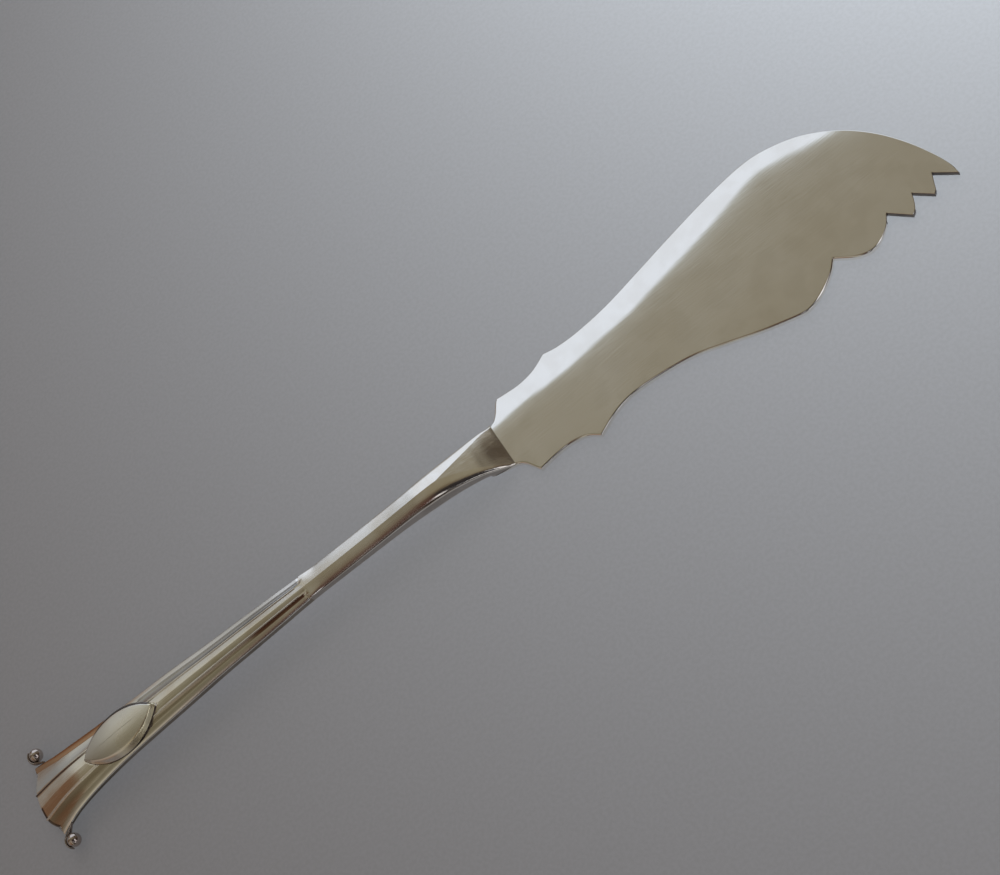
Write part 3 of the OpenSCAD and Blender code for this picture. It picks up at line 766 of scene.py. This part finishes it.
def half_shares(d):
    """Places across half the handle at d, which follow its creases from the forks to the fan."""
    grown = float(ease((d - FORK_D) / (REED_D - FORK_D)))
    f = float(fork(d))
    foot = max(f, RIDGE_SHARE * grown, FORK_LEAST_SHARE)
    start = foot + mix(FORK_FOOT_SHARE * (1 - f), FLUTE_SHARE - RIDGE_SHARE, grown)
    side = mix(mix(start, 1, 0.5), float(reed_side(d)), grown)
    stops = [0, foot, start, side, 1]
    steps = [INNER_STEPS, FOOT_STEPS, FLUTE_STEPS, BACK_STEPS]
    return np.array([mix(a, b, s) for a, b, zone in zip(stops, stops[1:], steps) for s in zone])


def crowned(d, v):
    """How far the neck's facet falls to both sides of the knife's axis."""
    grown = ease((d - LIP_D) / CROWN_START_L) * (1 - ease((d - SCARF_D) / CROWN_END_L))
    return CROWN * grown * (np.minimum(np.abs(v), fork(d)) * half_w(d)) ** 2


def handle():
    """The handle: rings of its whole section, from the lip to the rounded end of the fan."""
    stations = [d for run in HANDLE_RUNS for d in spread(*run)]
    rows = [(d, 0) for d in stations]
    rows += [(CORNER_D - END_R + END_R * math.sin(turn), END_R * (1 - math.cos(turn)))
             for turn in QUARTER_TURN]
    rings = []
    for d, shrink in rows:
        half = half_shares(d)
        v = np.concatenate([-half[:0:-1], half])
        a = float(reed_side(d)) if d > REED_D else 1
        e = d + lobe(d, np.abs(v))
        top = np.column_stack([-e, v * half_w(d), bed_z(e, np.abs(v), a) - shrink - crowned(d, v)])
        low = np.column_stack([-e, v * half_w(d), belly_z(e, np.abs(v)) + shrink / 2])
        rings.append(np.concatenate([top, low[::-1]]))

    # A ring goes over the top from the near side to the far side, and back along the belly
    count = len(rings[0])
    near_flute = range(len(BACK_STEPS) - 1, len(BACK_STEPS) + len(FLUTE_STEPS) - 1)
    far_flute = [count // 2 - 2 - j for j in near_flute]
    fan_end = range(near_flute[FAN_END_FROM], count // 4 - FAN_END_TO)
    sides = (count // 2 - 1, count - 1)
    reeded = sum(d < REED_D for d in stations)
    fluted = sum(d < REED_D + RUN_L for d in stations)
    last = len(rings) - 1
    grip = range(fluted, len(stations))
    # The sides of the stem and the grip, the grip's two flutes and the near side of the fan's end carry
    # films of painted shade
    mesh_piece("handle_fine", "handle", "silver_handle", HANDLE_SILVER, *joined(rings), HANDLE_CREASE,
               [(STEM_SIDE_SHADE, strip(count, range(reeded), sides)),
                (GRIP_SIDE_SHADE, strip(count, range(reeded, last), sides)),
                (NEAR_FLUTE_SHADE, strip(count, grip, near_flute)),
                (FAR_FLUTE_SHADE, strip(count, grip, far_flute)),
                (TARNISH_AND_SHADE_SILVER, strip(count, range(last + 1 - FAN_END_RINGS, last), fan_end))])


# How an edge reed's front end rises: [share of RUN_L, share of its height]
EDGE_START = [(0.35, 0.3), (0.37, 0.6), (0.42, 0.8), (0.5, 0.93), (0.65, 1)]
# Steps between an edge reed's rings and an inner reed's: in front of the cartouche and further back
BAND_STEPS = (0.35, 0.2)
WIRE_STEPS = (0.5, 0.3)
# Rings of a curl: of its bend, as far as this share of it, and round the bead, and the sizes of its tip's
BEND_RINGS = 12
BEND_SHARE = 0.92
CURL_RINGS = 40
CURL_TIP_SIZES = (0.9, 0.7, 0.35)
# Half the gap in the inner reeds, as a share of CARTOUCHE_L: their ends lie under the cartouche
HIDDEN_SHARE = 0.38
# Points across an edge reed, a curl and an inner reed
EDGE_POINTS = 25
CURL_POINTS = 19
WIRE_POINTS = 11


def edge_ring(d, grown=1.0, drop=0.0):
    """A ring of an edge reed: a broad back with a rounded rim, sunk a little in the solder."""
    a = float(reed_side(d))
    s = np.sin(np.linspace(0, math.pi / 2, EDGE_POINTS))
    v = mix(a, 1, s)
    rim = REED_T / 2 * (1 - np.sqrt(1 - s ** RIM_POWER))
    low = ledge_z(d, v, a) - FUSE
    top = mix(low, back_z(d, v, a) - rim - drop, grown)
    x, y = np.full(len(v), -d), v * float(half_w(d))
    return np.concatenate([np.column_stack([x, y, top]), np.column_stack([x, y, low])[::-1]])


def curl_section(mid, out, w, z, h):
    """An oval ring at mid, of width w along the direction out and of height h at the height z."""
    across = np.cos(np.linspace(0, math.pi, CURL_POINTS))
    rise = h / 2 * np.sqrt(np.maximum(0, 1 - across ** 2))
    xy = np.array(mid) + np.array(out) * (w / 2 * across)[:, None]
    upper, lower = np.column_stack([xy, z + rise]), np.column_stack([xy, z - rise - SOLDER / 2])
    return np.concatenate([upper, lower[::-1]])


def curl_ring(s):
    """A ring of the curl that wraps a bead, from the fan's side of it to its tip."""
    turn = math.radians(180 + mix(CURL_START, CURL_END, s))
    out = np.array((math.cos(turn), math.sin(turn)))
    w = mix(CURL_W, CURL_TIP, s)
    bead_xy = np.array((BEAD_BACK - CORNER_D, FAN_W / 2 + BEAD_OUT))
    return curl_section(bead_xy + out * (BEAD_R + w / 2), out, w, BEAD_Z, CURL_H)


def curl_rings():
    """The curl, which leaves the reed's side in a smooth bend and ends in a rounded tip."""
    d = CORNER_D - CURL_BACK
    side_z = float(back_z(d, 1, reed_side(d))) - REED_T / 2
    side_xy = (-d, float(half_w(d)) + CURL_TIP / 2 - FUSE)
    side_ring = curl_section(side_xy, (0, -1), CURL_TIP, side_z, CURL_H / 2)
    start = curl_ring(0)
    rings = [mix(side_ring, start, s) for s in np.linspace(0, BEND_SHARE, BEND_RINGS)]
    rings += [curl_ring(s) for s in np.linspace(0, 1, CURL_RINGS)]
    tip = rings[-1].mean(axis=0)
    return rings + [tip + (rings[-1] - tip) * size for size in CURL_TIP_SIZES]


def edge_reed_rings():
    """An edge reed's band, from its rising front end to the fan's rounded end."""
    rings = [edge_ring(REED_D + RUN_L * s, grown) for s, grown in EDGE_START]
    rings += [edge_ring(d) for d in spread(REED_D + RUN_L, SEAT_FRONT, BAND_STEPS[0])]
    rings += [edge_ring(d) for d in spread(SEAT_FRONT, CORNER_D - END_R, BAND_STEPS[1])]
    return rings + [edge_ring(CORNER_D - END_R * (1 - math.sin(turn)), 1, END_R / 2 * (1 - math.cos(turn)))
                    for turn in QUARTER_TURN]


def wire_rings(places):
    """Rings of an inner reed, a thin half-round wire, at these distances behind the shoulder points."""
    turns = np.linspace(0, math.pi, WIRE_POINTS)
    across, rise = (1 - np.cos(turns)) / 2, np.sin(turns) ** WIRE_POWER
    rings = []
    for d in places:
        mid = WIRE_SHARE * float(half_w(d))
        e = d + float(lobe(d, WIRE_SHARE))
        low = float(bed_z(e, WIRE_SHARE, reed_side(d))) - FUSE
        rings.append(np.column_stack([np.full(len(across), -e), mid + WIRE_W * (across - 0.5),
                                      low + (WIRE_H + FUSE) * rise]))
    return rings


def reeds():
    """The edge reeds, each a band and a curl, and the inner reeds, each in two stretches."""
    band, curl = edge_reed_rings(), curl_rings()
    hidden = CARTOUCHE_L * HIDDEN_SHARE
    front = wire_rings(spread(REED_D + 2 * RUN_L, CARTOUCHE_D - hidden, WIRE_STEPS[0]))
    back = wire_rings(spread(CARTOUCHE_D + hidden, CORNER_D, WIRE_STEPS[1]) + [CORNER_D])
    shapes = {"edge": joined(band, curl), "inner": joined(front, back)}
    curled = range(len(skin(band)), len(shapes["edge"][1]))
    # The curls get tarnish and painted shade, and the far edge reed's inner margin painted shade
    shaded_rings = [i for i, ring in enumerate(band) if ring[0, 0] > -MARGIN_END]
    margin = strip(len(band[0]), shaded_rings, range(MARGIN_FACES))
    films = {"left_edge": [(TARNISH_AND_SHADE_SILVER, curled), (FAR_FLUTE_SHADE, margin)],
             "right_edge": [(TARNISH_AND_SHADE_SILVER, curled)]}
    for side in ("left", "right"):
        for kind, (points, faces) in shapes.items():
            if side == "right":
                points, faces = mirrored(points, faces)
            reed = f"{side}_{kind}"
            metal = REED_METALS.get(reed, TRIM_SILVER)
            mesh_piece(f"{reed}_reed_fine", f"{reed}_reed", "silver_trim", metal, points, faces,
                       TRIM_CREASE, films.get(reed, ()))


def cartouche():
    """A domed, pointed oval: a low upright side, a broad bevel, and a soft edge to the dome."""
    full_t = CARTOUCHE_T + DOME_H
    cross_r = (CARTOUCHE_W ** 2 / 4 + DOME_H ** 2) / (2 * DOME_H)
    long_r = (CARTOUCHE_L ** 2 / 4 + DOME_H ** 2) / (2 * DOME_H)
    turns = np.linspace(-math.pi / 2, math.pi / 2, CARTOUCHE_STEPS + 1)

    def loop(inset):
        """The outline, drawn in across by inset and hardly at all at its points."""
        x = (CARTOUCHE_L / 2 - inset * TIP_INSET_SHARE) * np.sin(turns)
        half = cartouche_half(CARTOUCHE_D + CARTOUCHE_L / 2 * np.sin(turns)) * (1 - 2 * inset / CARTOUCHE_W)
        far = np.column_stack([x, half])
        return np.concatenate([far, far[-2:0:-1] * (1, -1)])

    def top(p):
        across = cross_r - np.sqrt(cross_r ** 2 - p[:, 1] ** 2)
        lengthwise = long_r - np.sqrt(long_r ** 2 - p[:, 0] ** 2)
        return full_t - across - lengthwise

    rings = []
    for inset, share in BEVEL_STEPS:
        p = loop(inset)
        rings.append(np.column_stack([p, -FUSE + share * (top(p) + FUSE)]))
    for inset in np.linspace(BEVEL_STEPS[-1][0], CARTOUCHE_W / 2 * DOME_SHARE, DOME_RINGS + 1)[1:]:
        p = loop(inset)
        rings.append(np.column_stack([p, top(p)]))
    points, faces = joined(rings)
    lean = math.atan(SEAT_SLOPE)
    turn = np.array([(math.cos(lean), 0, math.sin(lean)), (0, 1, 0), (-math.sin(lean), 0, math.cos(lean))])
    points = points @ turn.T + (-CARTOUCHE_D, 0, seat_z(CARTOUCHE_D) + SOLDER)
    faces = [tuple(reversed(face)) for face in faces]
    count = len(rings[0])
    foot_steps = [j for j in range(count) if abs(j - CARTOUCHE_STEPS) > BARE_POINT_STEPS]
    # The foot and the far edge's bevel carry painted shade, and the near edge's bevel a painted reflection
    shaded_edges = strip(count, FOOT_STRIPS, foot_steps) + strip(count, BEVEL_STRIPS, FAR_EDGE_STEPS)
    mesh_piece("cartouche_fine", "cartouche", "silver_trim", WORN_AND_SHADED_SILVER, points, faces, TRIM_CREASE,
               [(SHADE_FILM, shaded_edges), (GOLDEN_REFLECTION, strip(count, BEVEL_STRIPS, NEAR_EDGE_STEPS))])


# A bead's rings, points round each ring, and the turn from its pole at which its flat cap begins
BEAD_RINGS = 33
BEAD_POINTS = 48
BEAD_CAP_TURN = 0.02


def beads():
    """Two balls, each in the curl of an edge reed."""
    around = np.linspace(0, 2 * math.pi, BEAD_POINTS, endpoint=False)
    for side, sign in (("left", 1), ("right", -1)):
        rings = []
        for turn in np.linspace(BEAD_CAP_TURN, math.pi - BEAD_CAP_TURN, BEAD_RINGS):
            r = BEAD_R * math.sin(turn)
            rings.append(np.column_stack([r * np.cos(around), r * np.sin(around),
                                          np.full(BEAD_POINTS, BEAD_R * math.cos(turn))]))
        points, faces = joined(rings)
        points += (BEAD_BACK - CORNER_D, sign * (FAN_W / 2 + BEAD_OUT), BEAD_Z)
        mesh_piece(f"{side}_bead_fine", f"{side}_bead", "silver_trim", BEAD_TARNISH_AND_SHADE, points, faces,
                   TRIM_CREASE)


# Stage

# What the silver reflects: for each part of the room, colours from its far side (0) over the zenith
# (0.5) to its near side (1)
WINDOW = (0.77, 0.83, 0.94)
WINDOW_SIDE = [
    (0.0, (0.3, 0.28, 0.26)), (0.06, (0.45, 0.46, 0.47)), (0.1, WINDOW), (0.285, WINDOW),
    (0.305, (0.4, 0.41, 0.38)), (0.325, (0.285, 0.27, 0.225)), (0.345, (0.245, 0.222, 0.17)),
]
HANDLE_SIDE = [
    (0.0, (0.05, 0.04, 0.035)), (0.14, (0.07, 0.055, 0.045)), (0.2, (0.14, 0.135, 0.12)),
    (0.225, (0.23, 0.23, 0.22)), (0.3, (0.24, 0.235, 0.225)), (0.332, (0.25, 0.225, 0.2)),
    (0.352, (0.18, 0.125, 0.085)), (0.378, (0.14, 0.068, 0.036)), (0.405, (0.105, 0.078, 0.05)),
    (0.45, (0.17, 0.145, 0.11)), (0.5, (0.28, 0.25, 0.215)), (0.56, (0.3, 0.22, 0.17)),
    (0.66, (0.22, 0.14, 0.095)), (0.8, (0.05, 0.035, 0.03)),
]
# The parts from there to the blade's side: the direction's share along +X where each begins and ends to
# take over, and its colours
ROOM = [
    ((-0.66, -0.57), [
        (0.0, (0.07, 0.06, 0.055)), (0.12, (0.12, 0.1, 0.085)), (0.18, (0.18, 0.12, 0.085)),
        (0.23, (0.22, 0.14, 0.09)), (0.26, (0.3, 0.3, 0.285)), (0.3, (0.41, 0.41, 0.385)),
        (0.335, (0.49, 0.48, 0.425)), (0.36, (0.34, 0.32, 0.265)), (0.385, (0.22, 0.2, 0.14)),
        (0.42, (0.14, 0.12, 0.08)), (0.46, (0.16, 0.14, 0.095)), (0.5, (0.26, 0.235, 0.17)),
        (0.56, (0.35, 0.325, 0.265)), (0.66, (0.39, 0.365, 0.3)), (0.78, (0.33, 0.31, 0.25)),
        (0.88, (0.18, 0.16, 0.12)), (1.0, (0.08, 0.07, 0.05)),
    ]),
    ((-0.41, -0.37), [
        (0.0, (0.1, 0.09, 0.08)), (0.1, (0.12, 0.11, 0.1)), (0.15, (0.24, 0.235, 0.23)),
        (0.2, (0.38, 0.38, 0.37)), (0.25, (0.42, 0.42, 0.41)), (0.295, (0.42, 0.42, 0.4)),
        (0.317, (0.5, 0.49, 0.43)), (0.338, (0.33, 0.31, 0.25)), (0.36, (0.24, 0.22, 0.16)),
        (0.385, (0.2, 0.18, 0.125)), (0.415, (0.14, 0.125, 0.08)), (0.45, (0.13, 0.115, 0.075)),
        (0.485, (0.17, 0.15, 0.11)), (0.53, (0.34, 0.3, 0.26)), (0.64, (0.3, 0.27, 0.24)),
        (0.75, (0.16, 0.14, 0.12)), (0.85, (0.12, 0.1, 0.09)),
    ]),
    ((-0.3, -0.285), [
        (0.0, (0.1, 0.09, 0.08)), (0.1, (0.12, 0.11, 0.1)), (0.15, (0.22, 0.215, 0.21)),
        (0.2, (0.3, 0.3, 0.29)), (0.25, (0.3, 0.3, 0.29)), (0.295, (0.34, 0.34, 0.32)),
        (0.317, (0.5, 0.49, 0.43)), (0.338, (0.33, 0.31, 0.25)), (0.36, (0.24, 0.22, 0.16)),
        (0.385, (0.19, 0.17, 0.12)), (0.44, (0.14, 0.115, 0.08)), (0.5, (0.12, 0.085, 0.06)),
        (0.55, (0.06, 0.035, 0.025)), (0.72, (0.035, 0.015, 0.01)), (0.85, (0.12, 0.1, 0.09)),
    ]),
    ((-0.238, -0.222), WINDOW_SIDE + [
        (0.42, (0.25, 0.232, 0.185)), (0.49, (0.19, 0.16, 0.12)), (0.53, (0.11, 0.07, 0.05)),
        (0.62, (0.09, 0.045, 0.035)), (0.7, (0.07, 0.025, 0.018)), (0.78, (0.02, 0.012, 0.01)),
        (0.9, (0.02, 0.015, 0.012)), (0.96, (0.1, 0.085, 0.07)),
    ]),
    ((-0.17, -0.07), WINDOW_SIDE + [
        (0.45, (0.24, 0.215, 0.155)), (0.51, (0.16, 0.13, 0.09)), (0.56, (0.03, 0.025, 0.025)),
        (0.78, (0.02, 0.018, 0.02)), (0.9, (0.05, 0.045, 0.045)), (0.96, (0.12, 0.1, 0.085)),
    ]),
    ((0.4, 0.66), [
        (0.0, (0.3, 0.28, 0.26)), (0.1, WINDOW), (0.27, WINDOW), (0.3, (0.27, 0.25, 0.2)),
        (0.316, (0.19, 0.17, 0.135)), (0.33, (0.07, 0.055, 0.04)), (0.356, (0.065, 0.05, 0.036)),
        (0.376, (0.16, 0.14, 0.11)), (0.46, (0.16, 0.13, 0.1)), (0.55, (0.05, 0.035, 0.025)),
        (0.8, (0.05, 0.04, 0.04)), (0.92, (0.12, 0.1, 0.085)),
    ]),
]
# Bright places on the near side that glint along edges: where each starts, is full, and ends from
# the far side of the room (0) to the near side (1), and the same along +X
GLINTS = [((0.80, 0.83, 0.87, 0.90), (0.0, 0.10, 0.30, 0.45)),
          ((0.66, 0.70, 0.76, 0.80), (-0.15, -0.12, -0.06, -0.02)),
          ((0.56, 0.60, 0.76, 0.80), (0.38, 0.44, 0.62, 0.70))]
GLINT = (1, 1, 1.05)
DARK = (0, 0, 0)
# The lamp and the sheet of paper
LAMP_PLACE = (202.5, 101.2, 100)
LAMP_SIZE = 150
LAMP_POWER = 1.16      # in watts
LAMP_COLOUR = (0.90, 1.175, 1.43)
SHEET_HALF = 1500      # half the side of the sheet
SHEET_GAP = 0.02       # how far the sheet lies below the knife
# The camera, fitted to the photo: how far it looks down and aside from +Y and how far it is tilted are
# in degrees
CAMERA_PLACE = (24.18, -124.81, 224.4)
CAMERA_DIP = 60
CAMERA_SIDE = -12
CAMERA_ROLL = 48.84
CAMERA_LENS = 60.12
CAMERA_SENSOR = 36


def world():
    """A tall window on the far side, a warm ceiling, and a darker near side with three bright places."""
    studio = bpy.data.worlds.new("studio")
    bpy.context.scene.world = studio
    tree = tree_of(studio)
    direction = node(tree, "TexCoord").outputs["Generated"]
    way = node(tree, "SeparateXYZ", {0: direction}).outputs
    turn = math_node(tree, "DIVIDE", math_node(tree, "ARCCOSINE", way["Y"]), math.pi)
    sky = ramp(tree, turn, HANDLE_SIDE)
    for (start, end), stops in ROOM:
        sky = blend(tree, passage(tree, way["X"], start, end), sky, ramp(tree, turn, stops))
    for places, (start, full, fading, end) in GLINTS:
        spot = ramp(tree, turn, list(zip(places, (DARK, GLINT, GLINT, DARK))))
        lit = math_node(tree, "MULTIPLY", passage(tree, way["X"], start, full),
                        passage(tree, way["X"], end, fading))
        sky = blend(tree, lit, sky, spot, "ADD")
    shader = node(tree, "Background", {"Color": sky, "Strength": 1.0})
    node(tree, "OutputWorld", {0: shader.outputs[0]})


def floor():
    """The sheet of paper that the knife lies on."""
    mesh = bpy.data.meshes.new("paper")
    half = SHEET_HALF * MM
    corners = [(-half, -half, 0), (half, -half, 0), (half, half, 0), (-half, half, 0)]
    mesh.from_pydata(corners, [], [(0, 1, 2, 3)])
    mesh.materials.append(paper())
    sheet = bpy.data.objects.new("paper", mesh)
    sheet.location.z = -SHEET_GAP * MM
    bpy.context.collection.objects.link(sheet)


def lamp():
    """A lamp beyond the blade's tip, which only lightens the paper and casts no shadow."""
    data = bpy.data.lights.new("lamp", "AREA")
    data.energy = LAMP_POWER
    data.size = LAMP_SIZE * MM
    data.color = LAMP_COLOUR
    data.use_shadow = False
    light = bpy.data.objects.new("lamp", data)
    light.visible_glossy = False
    light.visible_camera = False
    light.location = Vector(LAMP_PLACE) * MM
    light.rotation_euler = light.location.to_track_quat("Z", "Y").to_euler()
    bpy.context.collection.objects.link(light)


def camera():
    """Above the near side, looking down at the knife across its handle."""
    dip, side, roll = (math.radians(angle) for angle in (CAMERA_DIP, CAMERA_SIDE, CAMERA_ROLL))
    ahead = np.array((math.sin(side) * math.cos(dip), math.cos(side) * math.cos(dip), -math.sin(dip)))
    level = np.array((math.cos(side), -math.sin(side), 0))
    down = np.cross(ahead, level)
    right = math.cos(roll) * level + math.sin(roll) * down
    down = -math.sin(roll) * level + math.cos(roll) * down
    data = bpy.data.cameras.new("camera")
    data.sensor_width = CAMERA_SENSOR
    data.lens = CAMERA_LENS
    data.clip_start = 1 * MM
    view = bpy.data.objects.new("camera", data)
    turn = Matrix((right, -down, -ahead)).transposed().to_4x4()
    view.matrix_world = Matrix.Translation(np.array(CAMERA_PLACE) * MM) @ turn
    bpy.context.collection.objects.link(view)
    bpy.context.scene.camera = view


camera()
blade()
handle()
reeds()
cartouche()
beads()
floor()
world()
lamp()
bpy.context.scene.view_settings.view_transform = "Standard"
